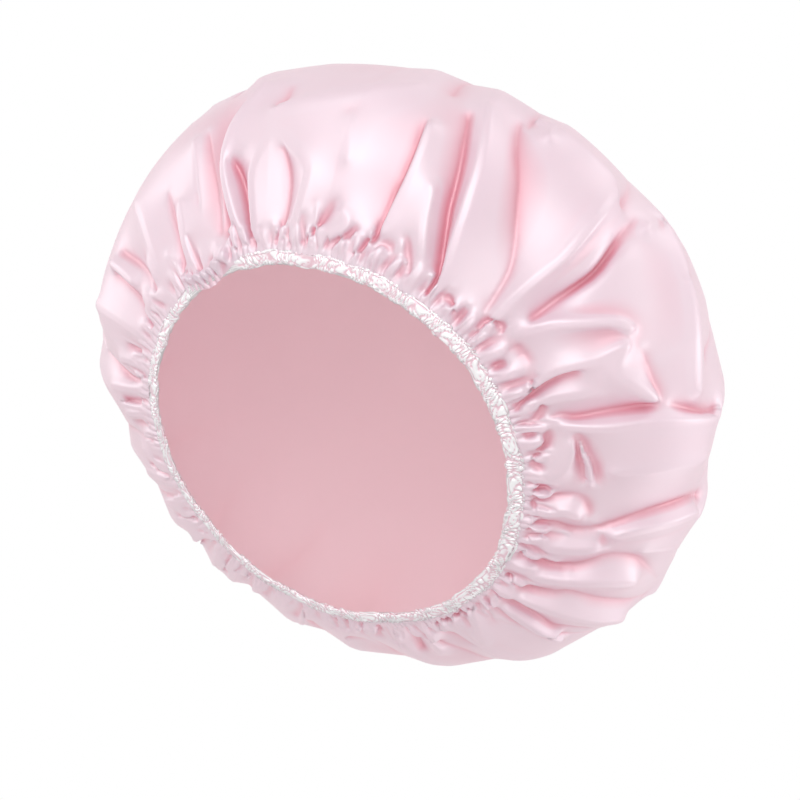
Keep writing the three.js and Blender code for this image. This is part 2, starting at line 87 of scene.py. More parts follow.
# Fold lines as the photograph shows them, each from the hem outwards:
# pixel across, pixel down, depth below the outline in millimetres
SEEN_LINES = [
    # Step where the upper left of the cap lies behind the next lobe
    [(236, 251, 1.5), (228, 238, 4), (222, 222, 5.5), (218, 200, 6.5), (217, 178, 6.5), (219, 160, 6),
     (222, 140, 5.5), (229, 122, 5.5), (238, 108, 5), (250, 96, 4)],
    [(247, 250, 0.5), (241, 238, 0), (234, 218, -1), (229, 200, -1.5), (225, 180, -2), (223, 160, -2),
     (226, 146, -2), (231, 131, -2), (238, 118, -2), (248, 105, -2), (258, 94, -2), (266, 82, -2)],
    [(202, 122, 2), (201, 140, 3.5), (203, 165, 4.2), (207, 190, 4.4), (212, 215, 4), (216, 235, 3)],
    [(190, 136, 0.8), (190, 160, 1.6), (192, 190, 2), (196, 215, 2)],
    # Lobe that hangs over the rim at the upper left
    [(184, 276, -3), (196, 269, -4.5), (210, 263, -5), (224, 257, -4.5), (234, 256, -2.5)],
    # Upper left, past the step
    [(181, 272, 1), (179, 258, 2.5), (174, 240, 3.5), (168, 220, 3.5), (164, 200, 3), (163, 182, 1.5)],
    [(190, 268, 0), (187, 250, -1), (182, 225, -1), (178, 200, -0.5)],
    [(158, 265, -0.5), (150, 240, -1), (142, 215, -1), (135, 200, -0.5)],
    [(152, 290, 1), (146, 278, 3), (138, 268, 4), (127, 259, 4.5), (116, 251, 4)],
    [(158, 296, 1), (152, 284, 2.5), (145, 270, 3), (140, 256, 2.5)],
    [(160, 288, 0), (155, 272, -1), (148, 258, -1)],
    [(135, 283, -1), (122, 270, -1.5), (112, 262, -1.5)],
    [(157, 320, 0), (151, 306, -1), (144, 292, -1)],
    [(152, 330, 1.5), (144, 313, 3.5), (134, 299, 4), (123, 285, 3.5), (112, 271, 3)],
    [(149, 345, 0), (135, 330, -1), (118, 315, -1.5), (103, 303, -1.5)],
    [(147, 360, 1), (138, 351, 2.5), (128, 345, 2)],
    [(146, 366, 0), (133, 362, -1), (122, 358, -1)],
    [(146, 378, 1), (133, 380, 2.5), (122, 374, 4), (112, 362, 4.5), (104, 347, 4.5), (98, 325, 4)],
    [(146, 392, 0), (130, 388, -1), (115, 384, -1.5)],
    [(147, 402, 1), (135, 402, 2.5), (120, 401, 3)],
    [(148, 412, 0), (135, 413, -1), (128, 414, -1)],
    [(148, 425, 1), (138, 424, 3), (130, 424, 3)],
    # Faceted strip along the lower left
    [(168, 470, 0), (155, 460, -0.6), (142, 450, -0.6)],
    [(170, 478, 0.6), (157, 470, 1.8), (147, 466, 1.8)],
    [(178, 482, 0), (162, 478, -0.6), (146, 474, -1.2)],
    [(186, 494, 0.9), (172, 492, 1.2), (156, 490, 0.9)],
    [(190, 505, 0), (176, 503, -0.6), (163, 501, -1.2)],
    [(200, 517, 1.2), (188, 518, 1.5), (176, 518, 1.2)],
    [(206, 530, 0), (200, 538, -0.6), (194, 544, -1.2)],
    [(215, 540, 1.2), (208, 548, 1.8), (203, 552, 1.8)],
    [(222, 548, 0), (218, 560, -0.6), (213, 569, -1.2)],
    [(232, 552, 0.9), (226, 565, 1.5), (221, 572, 1.8)],
    [(240, 560, 0), (235, 572, -0.6), (229, 582, -1.2)],
    [(252, 566, 0.9), (246, 578, 1.5), (241, 585, 1.5)],
    [(262, 572, 0), (257, 585, -0.6), (252, 593, -0.9)],
    [(275, 580, 0.9), (268, 592, 1.5), (262, 598, 1.5)],
    [(290, 588, 0), (285, 602, -0.6), (278, 610, -0.9)],
    [(305, 594, 0.9), (300, 608, 1.5), (293, 620, 1.5)],
    [(312, 600, 0), (306, 615, -0.6), (298, 628, -1.2)],
    # Deep crease, lobe and shaded flank beside the step
    [(256, 250, 1), (250, 238, 2.5), (246, 222, 3.5), (242, 203, 4), (238, 186, 4), (233, 170, 3.5),
     (228, 157, 2)],
    [(262, 250, 0), (256, 228, -1), (253, 200, -1.2), (252, 175, -1.2), (258, 155, -1), (270, 139, -0.8)],
    [(276, 256, 1), (279, 235, 2), (283, 210, 2.4), (285, 185, 2.4), (284, 165, 2), (281, 142, 0.5)],
    [(286, 252, 0.3), (292, 232, -0.5), (300, 205, -1.3), (305, 186, -1.8), (309, 168, -2.2),
     (302, 157, -2), (290, 147, -1.2), (281, 138, -0.8)],
    [(303, 247, 1.5), (312, 232, 3), (323, 215, 3), (333, 198, 1.5)],
    [(312, 246, 0), (330, 236, -0.8), (345, 226, -1), (340, 208, -1)],
    [(325, 248, 1), (340, 240, 2.2), (352, 232, 2.2), (360, 225, 1)],
    [(345, 160, -1.5), (345, 128, -2), (350, 104, -1.5)],
    # Edge where the cap turns over at its widest
    [(272, 108, -1.5), (300, 104, -2), (320, 99, -2), (345, 94, -2), (366, 89, -2), (376, 86, -2),
     (400, 84, -1.5), (425, 80, -1)],
    [(290, 82, 2.5), (282, 96, 2.5), (274, 110, 2)],
    # Thin valley right of the bright lobe, which turns along the hem
    [(353, 255, 1.5), (362, 247, 2.5), (371, 238, 3), (376, 228, 3.2), (380, 219, 3.2), (386, 204, 3.5),
     (390, 192, 3.5), (397, 178, 3), (404, 163, 3), (412, 145, 2.5), (420, 125, 2), (426, 108, 1)],
    [(380, 236, 0), (392, 211, -0.5), (403, 190, -1), (412, 170, -1.2), (422, 145, -1.2), (431, 118, -1)],
    [(408, 272, 1.5), (406, 255, 2.5), (405, 238, 1.5)],
    [(420, 262, 0), (421, 240, -1), (424, 215, -1), (432, 180, -1)],
    [(372, 250, 1), (380, 245, 1.8), (389, 248, 2.2), (393, 256, 1)],
    # Oblique shaded band and the sharp ridge beside it
    [(424, 300, 2.5), (433, 283, 3.5), (438, 268, 4), (441, 250, 4.5), (444, 230, 4.5), (448, 205, 4.5),
     (455, 180, 4.5), (461, 155, 4.2), (466, 130, 3.5), (471, 105, 2.5)],
    [(431, 300, 0.5), (440, 283, 0), (447, 262, -0.5), (454, 240, -1), (462, 218, -1.5), (469, 197, -1.8),
     (478, 170, -2), (484, 145, -2), (487, 120, -1.8), (489, 100, -1)],
    # Bright slope beside it, with the large shaded flank that rises to a sharp edge
    [(484, 312, 1.5), (497, 292, 2.5), (508, 272, 3.5), (514, 250, 4.2), (517, 225, 5), (520, 200, 5.5),
     (523, 175, 5.5), (523, 150, 5), (523, 128, 3.5), (524, 112, 1.5)],
    [(472, 341, 0), (491, 323, -0.3), (510, 302, -0.5), (530, 284, -1), (550, 268, -1.5), (562, 258, -2),
     (575, 243, -2.6), (590, 224, -3), (602, 209, -2.6), (613, 192, -1.6)],
    [(536, 115, -0.2), (546, 122, -0.6), (560, 132, -1.3), (575, 145, -1.5), (590, 163, -2),
     (603, 176, -1.8), (614, 190, -1.4)],
    # Light slope, then the tall shaded triangle
    [(530, 320, 2.5), (550, 305, 4), (570, 292, 5), (588, 280, 6), (602, 268, 6.5), (614, 252, 6),
     (622, 240, 5), (630, 228, 3), (636, 218, 1)],
    [(649, 214, -1.2), (661, 238, -2.6), (672, 274, -3.4), (679, 310, -3.4), (684, 350, -2.8),
     (692, 397, -1)],
    # Light lobe below the triangle, thin sharp crease, peak and its bright facet
    [(516, 335, 0), (545, 325, -1.5), (580, 322, -2), (610, 322, -2), (630, 330, -1.5)],
    [(512, 410, 1.5), (521, 403, 2.5), (530, 396, 3), (540, 388, 3), (552, 380, 2.8), (566, 373, 2),
     (580, 368, 1)],
    [(517, 402, 0.3), (528, 390, -0.7), (540, 379, -1.3), (552, 371, -1.8), (566, 366, -2),
     (580, 362, -2), (592, 359, -1.8), (605, 353, -2), (622, 342, -2.5)],
    [(622, 342, -2.5), (613, 355, -2.5), (610, 369, -2.5), (625, 381, -2.5), (640, 391, -2.5),
     (653, 400, -2.5)],
    [(638, 344, 1), (643, 358, 2.5), (649, 374, 2.5), (656, 392, 2), (662, 400, 1)],
    [(548, 420, 1.5), (560, 415, 2), (575, 417, 3), (600, 412, 3.5), (625, 408, 3.5), (643, 405, 3),
     (657, 402, 1)],
    [(530, 410, 0), (550, 398, -0.5), (580, 392, -0.8), (600, 388, -0.5)],
    [(664, 401, 1), (682, 407, 2.5), (702, 412, 3), (722, 404, 2)],
    # Broad light facet
    [(560, 425, -0.5), (600, 425, -1.5), (640, 420, -2), (680, 418, -2.5), (708, 415, -2.5)],
    [(610, 470, -1.2), (650, 465, -2), (700, 455, -2.2)],
    # Pinched dart
    [(574, 432, 0.5), (577, 448, 3), (581, 464, 4), (584, 478, 3.5), (583, 489, 1.5)],
    [(577, 438, 0), (583, 455, 0), (588, 470, 0.2), (589, 488, 0)],
    [(576, 431, 0.5), (583, 445, 3), (591, 459, 3.5), (596, 472, 3.5), (597, 489, 1.5)],
    [(528, 486, 0), (545, 478, -1), (560, 468, -1.2), (568, 455, -1.2), (573, 438, -1)],
    # Hooked tucks beside the rim
    [(432, 300, 1), (440, 297, 2.5), (448, 300, 3), (452, 308, 3), (451, 317, 1.5)],
    [(474, 335, 1.5), (482, 325, 2.5), (491, 321, 3), (499, 326, 3), (501, 334, 2.4), (495, 342, 1.2)],
    [(508, 352, 1), (516, 349, 2.5), (523, 355, 2.5), (530, 361, 1.5)],
    [(524, 395, 1.5), (531, 388, 2.2), (531, 378, 1.3)],
    [(530, 425, 1.5), (537, 418, 3), (541, 408, 3), (538, 398, 1.5)],
    [(528, 464, 1.5), (538, 453, 3), (545, 441, 3), (548, 430, 1.5)],
    [(525, 500, 2), (535, 492, 3.5), (545, 490, 3.5), (548, 498, 2.5)],
    # Lobe with a hooked end, then the long thin crease under it
    [(520, 506, 1.7), (535, 502, 3), (550, 499, 3), (565, 498, 3), (577, 498, 3), (586, 503, 3.4),
     (591, 512, 3.4), (593, 526, 1.3)],
    [(526, 516, 0), (545, 513, -0.8), (565, 511, -1.3), (580, 518, -1.3)],
    [(524, 527, 1.7), (540, 526, 2.5), (555, 528, 3), (570, 533, 3.4), (585, 533, 3), (600, 531, 3),
     (615, 526, 3), (635, 519, 3), (655, 513, 3.4), (680, 506, 3.8), (706, 495, 3.4)],
    [(522, 537, 1.3), (540, 536, 2.5), (560, 537, 3), (574, 537, 2.5)],
    [(601, 533, 2.5), (603, 542, 2.1), (604, 550, 0.8)],
    [(610, 535, -1.3), (640, 527, -1.7), (670, 520, -1.7), (695, 510, -1.7)],
    # Folds that run to the lower right
    [(508, 543, 1.1), (518, 552, 2.2), (530, 560, 3), (545, 567, 3.2), (560, 569, 3.2), (580, 567, 3),
     (605, 560, 3), (620, 559, 3), (638, 562, 3.4), (650, 570, 3.4), (661, 582, 2.6)],
    [(545, 549, -0.4), (575, 550, -0.8), (598, 548, -0.8)],
    [(640, 552, 0.8), (660, 550, 1.5), (680, 546, 1.5)],
    [(498, 571, 1.1), (508, 577, 2.2), (518, 587, 3), (532, 592, 3.2), (550, 594, 3), (568, 593, 3),
     (583, 596, 3), (598, 600, 3.2), (618, 602, 3.2), (635, 600, 3), (655, 590, 2.2)],
    [(530, 576, -0.8), (560, 578, -1.1), (600, 578, -1.4), (635, 578, -1.4)],
    [(484, 584, 1.1), (495, 595, 2.2), (508, 604, 2.8), (525, 612, 3), (540, 620, 3.2), (552, 628, 3.2),
     (566, 629, 3), (592, 629, 2.2)],
    [(520, 598, -0.8), (550, 606, -1.1), (590, 614, -1.4), (620, 614, -1.1)],
    [(482, 597, 1.1), (495, 612, 2.2), (512, 624, 2.8), (530, 632, 3), (545, 639, 2.6), (556, 643, 1.9)],
    [(505, 609, -0.2), (525, 621, -0.6), (545, 633, -0.8), (565, 638, -0.8)],
    [(478, 600, 1.1), (487, 614, 2.2), (497, 626, 2.2)],
    # Bottom lobe and the wavy lower edge
    [(470, 602, 0), (475, 625, -1.5), (485, 645, -1.5)],
    [(470, 600, 2), (455, 607, 3.5), (440, 618, 4), (436, 626, 3.5), (446, 636, 3.5), (462, 644, 3.5),
     (480, 650, 3)],
    [(430, 607, 0), (420, 618, -1), (432, 640, -1.5), (440, 660, -1)],
    [(400, 610, 1), (406, 626, 3.5), (413, 641, 4), (421, 658, 3.5)],
    [(386, 608, 0), (392, 620, -1), (398, 640, -1.5), (402, 656, -1)],
    [(374, 606, 1), (376, 622, 3), (378, 640, 2)],
    [(330, 628, -1), (350, 630, -1.5), (370, 625, -1.5)],
    [(344, 604, 1), (345, 614, 2.2), (344, 622, 1.5)],
    [(334, 600, 1), (336, 611, 2.2), (335, 620, 1.5)],
    [(340, 641, 1.5), (365, 646, 2)],
]

# Hollow in a facet: pixels and depth in millimetres, held softly
SOFT_DENTS = [
    [(600, 300, 2.5), (622, 280, 2.5)],
]

# Swell beyond the turned form, where the photograph's outline has it: azimuth in degrees and millimetres
BROAD_SHAPE = [
    (0, 2.5), (15, -1), (35, -3), (50, -3), (75, -2.5), (95, -1), (120, -1.5), (138, 1.5), (150, 3),
    (160, 1), (170, 0), (185, 0), (200, -1.5), (215, -1), (230, -3), (245, -2), (262, 0), (280, 2),
    (300, 4), (315, 2.5), (335, 0.5), (350, 3),
]

# Folds round the rest of the cap: azimuth at the hem and at the crown in degrees,
# depth in millimetres, whether the folds begin at the hem
ROUND_FOLDS = [
    (8, 4, 3, True), (18, 17, -0.5, True), (28, 25, 2.5, True), (37, 36, -0.5, True), (47, 44, 2, True),
    (55, 53, -0.5, True), (63, 62, 2.5, True), (71, 72, -0.5, True), (80, 80, 2.5, True),
    (87, 88, -0.5, True), (95, 96, 3, True), (103, 104, -0.5, True), (110, 111, 2.5, True),
    (118, 118, 0, True), (127, 125, 3, True), (136, 134, -0.5, True), (145, 142, 3, True),
    (152, 151, -1, False), (160, 160, 3, False), (168, 168, 1.5, False), (178, 178, 3, False),
    (186, 186, 2, False), (192, 192, 1, False), (196, 196, 1.5, False), (200, 199.5, 3, False),
    (203, 203, -1, False), (236, 236, -1, False), (243, 243, 3, False), (248, 248, -1, False),
    (254, 255, 3, False), (263, 262, -1.5, False), (273, 275, 3, False), (283, 283, -1.5, False),
    (292, 291, -1.5, False), (304, 304, 3.5, False), (318, 317, -1.5, False), (330, 330, 4, False),
    (338, 338, -1.5, False), (346, 346, 3.5, False), (355, 355, -1, False),
]
ROUND_FOLD_FROM_HEM = 3 * MM
ROUND_FOLD_FROM_WIDEST = 6 * MM
ROUND_FOLD_STEP = 0.7 * MM
ROUND_FOLD_END = 75 * MM
ROUND_FOLD_FADE = 10 * MM
ROUND_FOLD_BEND = 1.5
ROUND_FOLD_LEAST_SHARE = 0.25

# Gathers along the hem
GATHER_COUNT = 74
GATHER_SEED = 5
GATHER_SPACINGS = (0.45, 1.55)
GATHER_STEP = 0.35 * MM
GATHER_LEAN = 0.3
LIVELY_AZIMUTH = math.radians(290)
LIVELY_MEAN = 0.6
LIVELY_SWING = 0.4
VALLEY_START = -1 * MM
LOBE_START = -1.5 * MM
VALLEY_LENGTHS = (5, 10)
LONG_VALLEY_SHARE = 0.3
LONG_VALLEY_EXTRAS = (4, 10)
VALLEY_DEPTH_SHARES = (0.18, 0.32)
VALLEY_WIDEST = 8 * MM
LOBE_LENGTHS = (6, 9)
LOBE_HEIGHT_SHARES = (0.12, 0.24)
LOBE_WIDEST = 9 * MM
LEAST_DEPTH = 0.01 * MM

# How the shell's skin lies between its fold lines
FIELD_STEPS = [(134, 480, 260), (267, 960, 120), (400, 1440, 80)]
LINE_HOLD = 24
VALLEY_WIDTH = 0.45 * MM
RIDGE_WIDTH = 0.7 * MM
DENT_WIDTH = 9 * MM
DENT_HOLD = 0.3
GROOVE_WIDTH = 0.7 * MM
GROOVE_DEPTH = 0.4 * MM
GROOVE_FULL_AT = 3 * MM
LINE_END = 7 * MM
LINE_END_SHARE = 0.3
LINE_START = 4 * MM
TAPER_START = -0.5 * MM
NARROWEST_RADIUS = 3 * MM
STAMP_WIDTHS = 3
# Curvature per metre that the skin is pushed to between the lines: below zero it lies flatter
PUFF = -8
PUFF_FADE = 70 * MM
# What one millimetre in the table stands for on a short line and on a long one, and where those begin
SHORT_LINE_DEPTH = 0.85 * MM
LONG_LINE_DEPTH = 1.3 * MM
SHORT_LINE_PIXELS = 40
LONG_LINE_PIXELS = 130
SPRING_REACH = 45 * MM
OVER_RELAXATION = 1.93
SWELL_START = 35 * MM
SWELL_END = 50 * MM
SWELL_CROWN = 20 * MM


def smooth(low, high, value):
    """Smooth step from 0 at low to 1 at high."""
    share = np.clip((value - low) / (high - low), 0, 1)
    return share * share * (3 - 2 * share)


def unit(rows):
    """Each row at length one."""
    return rows / np.linalg.norm(rows, axis=1)[:, None]


def outline_points(count=400):
    """Radius and height along the cap's outline, from the seam in the hem to the top."""
    start = np.array([HEM_OUT, HEM_OUT_HEIGHT])
    slope = np.array([math.cos(HEM_TILT), math.sin(HEM_TILT)])
    run = CAP_RADIUS - HEM_OUT
    rise = WIDEST_HEIGHT - HEM_OUT_HEIGHT
    first = start + run * SIDE_HANDLE_SHARES[0] * slope
    second = np.array([CAP_RADIUS, WIDEST_HEIGHT - rise * SIDE_HANDLE_SHARES[1]])
    end = np.array([CAP_RADIUS, WIDEST_HEIGHT])
    t = np.linspace(0, 1, count)[:, None]
    side = (1 - t) ** 3 * start + 3 * (1 - t) ** 2 * t * first + 3 * (1 - t) * t ** 2 * second + t ** 3 * end
    angle = np.linspace(0, math.pi / 2, count)[1:]
    power = 2 / CROWN_EXPONENT
    crown = np.stack([
        CAP_RADIUS * np.clip(np.cos(angle), 0, 1) ** power,
        WIDEST_HEIGHT + (CAP_TOP - WIDEST_HEIGHT) * np.sin(angle) ** power,
    ], axis=1)
    return np.concatenate([[start - HEM_TUCK * slope], side, crown])


SLOPE_STEP = 0.5 * MM
OUTLINE = outline_points()
REACH = np.concatenate([[0], np.cumsum(np.hypot(*np.diff(OUTLINE, axis=0).T))])
RADII, HEIGHTS = OUTLINE.T
CLOTH_LENGTH = REACH[-1]
WIDEST_REACH = float(np.interp(WIDEST_HEIGHT, HEIGHTS, REACH))


def outline_at(reach):
    """Radius, height and inward direction at a distance from the seam."""
    radius, height = np.interp(reach, REACH, RADII), np.interp(reach, REACH, HEIGHTS)
    ahead = np.clip(reach + SLOPE_STEP, 0, CLOTH_LENGTH)
    behind = np.clip(reach - SLOPE_STEP, 0, CLOTH_LENGTH)
    dr = np.interp(ahead, REACH, RADII) - np.interp(behind, REACH, RADII)
    dz = np.interp(ahead, REACH, HEIGHTS) - np.interp(behind, REACH, HEIGHTS)
    size = np.hypot(dr, dz)
    return radius, height, -dz / size, dr / size


def outline_place(reach, azimuth, depth):
    """Points at a depth below the outline."""
    radius, height, in_r, in_z = outline_at(reach)
    out = radius + in_r * depth
    return np.stack([out * np.cos(azimuth), out * np.sin(azimuth), height + in_z * depth], -1)


# Camera
def view_axes():
    ahead = np.array([0, math.sin(VIEW_TILT), math.cos(VIEW_TILT)])
    right = np.array([1.0, 0, 0])
    up = np.array([0, -math.cos(VIEW_TILT), math.sin(VIEW_TILT)])
    c, s = math.cos(VIEW_ROLL), math.sin(VIEW_ROLL)
    eye = np.array([0, 0, VIEW_AIM_HEIGHT]) - ahead * VIEW_DISTANCE
    right, up = right * c + up * s, up * c - right * s
    half = FRAME_PIXELS / 2
    middle = ahead + right * (half - CENTRE_PIXEL[0]) / FOCAL_PIXELS
    middle -= up * (half - CENTRE_PIXEL[1]) / FOCAL_PIXELS
    middle /= np.linalg.norm(middle)
    right = right - middle * right.dot(middle)
    right /= np.linalg.norm(right)
    return eye, middle, right, np.cross(right, middle)


EYE, VIEW_AHEAD, VIEW_RIGHT, VIEW_UP = view_axes()


def build_camera():
    data = bpy.data.cameras.new("camera")
    data.sensor_width = SENSOR_WIDTH
    data.sensor_fit = "HORIZONTAL"
    data.lens = SENSOR_WIDTH * FOCAL_PIXELS / FRAME_PIXELS
    camera = bpy.data.objects.new("camera", data)
    turn = Matrix((VIEW_RIGHT, VIEW_UP, -VIEW_AHEAD)).transposed().to_4x4()
    camera.matrix_world = Matrix.Translation(Vector(EYE)) @ turn
    bpy.context.scene.collection.objects.link(camera)
    bpy.context.scene.camera = camera


def on_outline(across, down):
    """Reach and azimuth where sight lines through the photograph's pixels meet the outline."""
    half = FRAME_PIXELS / 2
    across, down = np.outer(across - half, VIEW_RIGHT), np.outer(down - half, VIEW_UP)
    way = unit(VIEW_AHEAD * FOCAL_PIXELS + across - down)
    far = np.arange(VIEW_DISTANCE - SIGHT_SPAN, VIEW_DISTANCE + SIGHT_SPAN, SIGHT_STEP)
    points = EYE + far[None, :, None] * way[:, None, :]
    skin = np.interp(points[..., 2], HEIGHTS, RADII)
    gap = np.hypot(points[..., 0], points[..., 1]) - skin
    gap[points[..., 2] < HEM_OUT_HEIGHT] = 1
    inside = gap < 0
    hit = np.where(inside.any(axis=1), inside.argmax(axis=1), gap.argmin(axis=1))
    spot = points[np.arange(len(points)), hit]
    return np.interp(spot[:, 2], HEIGHTS, REACH), np.arctan2(spot[:, 1], spot[:, 0])


# Folds
def curve_through(points, steps=14):
    """Rows along a smooth curve through the given rows."""
    rows = np.array(points, float)
    rows = np.concatenate([[2 * rows[0] - rows[1]], rows, [2 * rows[-1] - rows[-2]]])
    t = np.linspace(0, 1, steps, endpoint=False)[:, None]
    parts = []
    for a, b, c, d in zip(rows, rows[1:], rows[2:], rows[3:]):
        bend = (2 * a - 5 * b + 4 * c - d) * t ** 2 + (3 * b - a - 3 * c + d) * t ** 3
        parts.append(b + 0.5 * ((c - a) * t + bend))
    return np.concatenate(parts + [rows[-2:-1]])


def seen_line(points):
    """A line drawn on the photograph, as reach, azimuth and depth along it."""
    rows = curve_through(points)
    reach, azimuth = on_outline(rows[:, 0], rows[:, 1])
    pixels = np.hypot(*np.diff(rows[:, :2], axis=0).T).sum()
    long_share = smooth(SHORT_LINE_PIXELS, LONG_LINE_PIXELS, pixels)
    depth = SHORT_LINE_DEPTH + (LONG_LINE_DEPTH - SHORT_LINE_DEPTH) * long_share
    return reach, azimuth, rows[:, 2] * depth


def fold_lines():
    """Every fold line as reach, azimuth and depth along it."""
    lines = [seen_line(points) for points in SEEN_LINES]
    end = WIDEST_REACH + ROUND_FOLD_END
    for hem, top, depth, from_hem in ROUND_FOLDS:
        start = HEM_TUCK + ROUND_FOLD_FROM_HEM if from_hem else WIDEST_REACH + ROUND_FOLD_FROM_WIDEST
        reach = np.arange(start, end, ROUND_FOLD_STEP)
        share = np.clip(reach / WIDEST_REACH, 0, 1.5)
        bend = ROUND_FOLD_BEND * np.sin(hem + 5 * share)
        azimuth = np.radians(hem + (top - hem) * share + bend * smooth(0, 0.5, share))
        rise = smooth(0, 0.45 * WIDEST_REACH, reach) * (1 - ROUND_FOLD_LEAST_SHARE) + ROUND_FOLD_LEAST_SHARE
        fade = 1 - smooth(WIDEST_REACH - ROUND_FOLD_FADE, end, reach)
        lines.append((reach, azimuth, depth * MM * rise * fade))
    return lines


def hem_gathers():
    """Short valleys that run out from the hem, with a raised lobe between each two."""
    rng = np.random.default_rng(GATHER_SEED)
    spacing = rng.uniform(*GATHER_SPACINGS, GATHER_COUNT)
    places = np.cumsum(spacing) / spacing.sum() * TURN
    widths = np.diff(places, append=places[0] + TURN) * HEM_OUT
    lines = []
    for place, width in zip(places, widths):
        length = rng.uniform(*VALLEY_LENGTHS) * MM
        length += (rng.random() < LONG_VALLEY_SHARE) * rng.uniform(*LONG_VALLEY_EXTRAS) * MM
        lively = LIVELY_MEAN + LIVELY_SWING * math.cos(place - LIVELY_AZIMUTH)
        deep = rng.uniform(*VALLEY_DEPTH_SHARES) * min(width, VALLEY_WIDEST) * lively
        lean = rng.normal(0, GATHER_LEAN)
        out = np.arange(VALLEY_START, length, GATHER_STEP)
        share = out / length
        azimuth = place + lean * out * (1 - 0.4 * share) / HEM_OUT
        depth = deep * smooth(-0.3, 0.1, share) * (1 - smooth(0.35, 1, share))
        lines.append((HEM_TUCK + out, azimuth, depth + LEAST_DEPTH))
        length = rng.uniform(*LOBE_LENGTHS) * MM
        out = np.arange(LOBE_START, length, GATHER_STEP)
        high = rng.uniform(*LOBE_HEIGHT_SHARES) * min(width, LOBE_WIDEST) * lively
        middle = place + (0.5 * width + lean * out) / HEM_OUT
        height = high * np.sin(math.pi * (out / length * 0.8 + 0.2))
        lines.append((HEM_TUCK + out, middle, -height - LEAST_DEPTH))
    return lines


def end_taper(reach, azimuth):
    """How firmly a fold line holds the skin: less towards its ends, so that it fades out."""
    run = np.hypot(np.diff(reach), np.diff(azimuth) * CAP_RADIUS)
    along = np.concatenate([[0], np.cumsum(run)])
    fade = min(LINE_END, LINE_END_SHARE * along[-1])
    start = 1 if reach[0] < HEM_TUCK + LINE_START else smooth(TAPER_START, fade, along)
    return start * smooth(TAPER_START, fade, along[-1] - along) ** 2


def stamp(line, grids, down, across, width, strength):
    """Press one line into the grids of hold, depth and groove."""
    hold, depth, groove = grids
    rows, columns = hold.shape
    taper = end_taper(line[0], line[1])
    for s, a, d, grip in zip(*line, taper):
        low = max(int((s - STAMP_WIDTHS * width) / down), 1)
        high = min(int((s + STAMP_WIDTHS * width) / down) + 2, rows - 1)
        if high <= low:
            continue
        wide = across[min(low, rows - 1)]
        side = int(STAMP_WIDTHS * width / wide) + 1
        centre = a / TURN * columns
        cells = np.arange(int(centre) - side, int(centre) + side + 2)
        away = (np.arange(low, high)[:, None] * down - s) ** 2 + ((cells - centre) * wide)[None, :] ** 2
        weight = strength * grip * np.exp(-away / (2 * width ** 2))
        block = np.ix_(np.arange(low, high), cells % columns)
        better = weight > hold[block]
        depth[block] = np.where(better, d, depth[block])
        hold[block] = np.where(better, weight, hold[block])
        sharp = grip * np.clip(d / GROOVE_FULL_AT, 0, 1) * np.exp(-away / (2 * GROOVE_WIDTH ** 2))
        groove[block] = np.maximum(groove[block], sharp)


def settle(rows, columns, sweeps, depth, lines, dents):
    """Draw the skin tight between the lines on one grid."""
    down = CLOTH_LENGTH / (rows - 1)
    reach = np.arange(rows) * down
    across = np.maximum(np.interp(reach, REACH, RADII), NARROWEST_RADIUS) * TURN / columns
    grids = np.zeros((3, rows, columns))
    for line in dents:
        stamp(line, grids, down, across, DENT_WIDTH, DENT_HOLD)
    grids[2] = 0
    for line in lines:
        width = RIDGE_WIDTH if line[2].mean() < 0 else VALLEY_WIDTH
        stamp(line, grids, down, across, width, LINE_HOLD)
    hold, wanted, groove = grids
    side_share = (down / across)[:, None]
    mid_across = 0.5 * (across[1:] + across[:-1]) / down
    up_share = np.concatenate([mid_across, [0]])[:, None]
    down_share = np.concatenate([[0], mid_across])[:, None]
    area = (down * across)[:, None]
    spring = area / SPRING_REACH ** 2
    puff = PUFF * area * (1 - smooth(WIDEST_REACH, WIDEST_REACH + PUFF_FADE, reach))[:, None]
    total = 2 * side_share + up_share + down_share + hold + spring
    fixed = np.zeros((rows, columns), bool)
    fixed[[0, -1]] = True
    parity = (np.arange(rows)[:, None] + np.arange(columns)[None, :]) % 2
    for sweep in range(2 * sweeps):
        above = np.concatenate([depth[1:], depth[-1:]])
        below = np.concatenate([depth[:1], depth[:-1]])
        drawn = side_share * (np.roll(depth, 1, 1) + np.roll(depth, -1, 1))
        drawn = drawn + up_share * above + down_share * below
        moved = depth + OVER_RELAXATION * ((drawn + hold * wanted - puff) / total - depth)
        depth = np.where((parity == sweep % 2) & ~fixed, moved, depth)
    return depth, groove


def fold_field():
    """Depth of the shell below the outline, drawn tight between its fold lines on finer and finer grids."""
    lines = hem_gathers() + fold_lines()
    dents = [seen_line(points) for points in SOFT_DENTS]
    depth = np.zeros((2, 2))
    for rows, columns, sweeps in FIELD_STEPS:
        reach = np.repeat(np.arange(rows) * CLOTH_LENGTH / (rows - 1), columns)
        azimuth = np.tile(np.arange(columns) * TURN / columns, rows)
        depth = sample(depth, reach, azimuth).reshape(rows, columns)
        depth, groove = settle(rows, columns, sweeps, depth, lines, dents)
    reach = (np.arange(rows) * CLOTH_LENGTH / (rows - 1))[:, None]
    azimuth = (np.arange(columns) * TURN / columns)[None, :]
    return depth + groove * GROOVE_DEPTH - broad_shape(reach, azimuth)


def sample(field, reach, azimuth):
    """Value of a field between its rows and columns."""
    rows, columns = field.shape
    y = np.clip(reach / CLOTH_LENGTH * (rows - 1), 0, rows - 1.001)
    x = (azimuth % TURN) / TURN * columns
    i, j = y.astype(int), x.astype(int)
    v, u = y - i, x - j
    j, k = j % columns, (j + 1) % columns
    low = field[i, j] * (1 - u) + field[i, k] * u
    high = field[i + 1, j] * (1 - u) + field[i + 1, k] * u
    return low * (1 - v) + high * v


